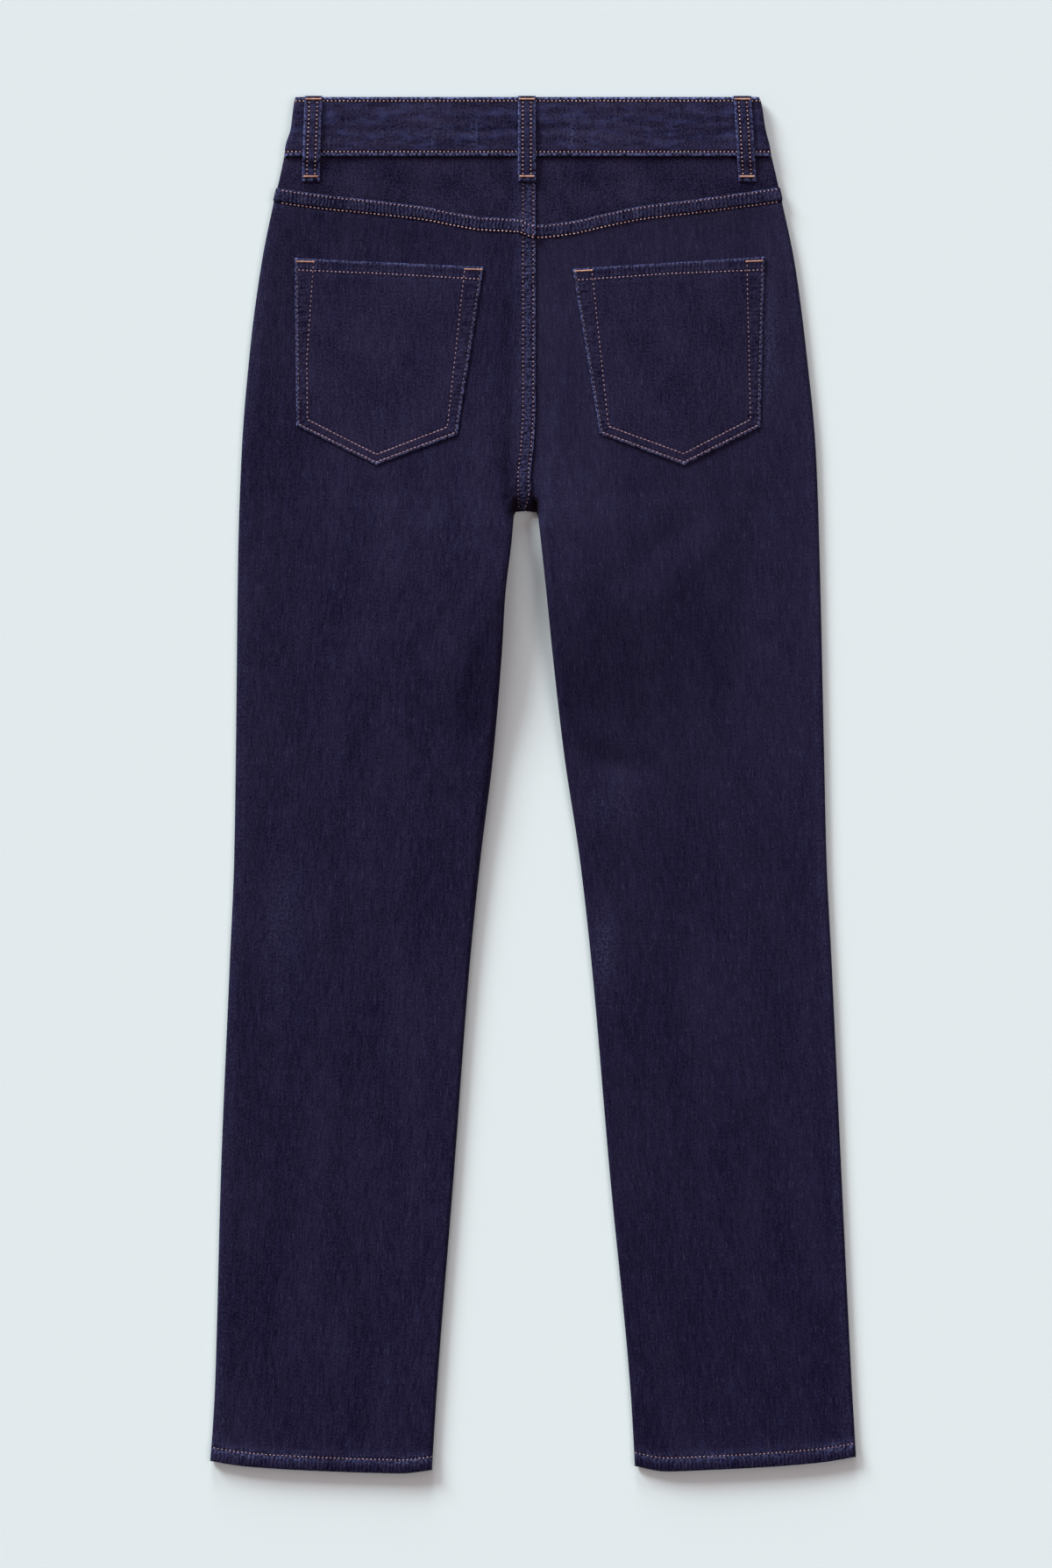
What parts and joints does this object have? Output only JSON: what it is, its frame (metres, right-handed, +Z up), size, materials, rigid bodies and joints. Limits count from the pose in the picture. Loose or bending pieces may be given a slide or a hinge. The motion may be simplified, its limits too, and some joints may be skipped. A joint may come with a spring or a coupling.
{
  "type": "straight leg jeans",
  "caption": "Straight leg denim jeans laid flat with the back side up: two legs, yoke, patch pockets, waistband and belt loops.",
  "frame": {"origin": "on the surface, under the middle of the box round the garment", "axes": "+Y along the legs towards the waist, +Z up off the surface, +X towards the wearer's right"},
  "size_m": [0.5011, 1.07, 0.018],
  "materials": {
    "denim": "dark indigo twill, matt with a faint sheen",
    "band_denim": "dark indigo twill, rubbed a little paler",
    "thread": "tan topstitching thread",
    "button_metal": "aged, satin"
  },
  "bodies": {
    "root": {"back_leg_left": "denim", "back_leg_right": "denim", "front_leg_left": "denim", "front_leg_right": "denim", "yoke_left": "denim", "yoke_right": "denim", "front_facing_left": "denim", "front_facing_right": "denim", "back_pocket_left": "denim", "back_pocket_right": "denim", "waistband": "band_denim", "loop_back_left": "band_denim", "loop_back_centre": "band_denim", "loop_back_right": "band_denim", "loop_front_left": "band_denim", "loop_front_right": "band_denim", "button": "button_metal"}
  },
  "joints": []
}
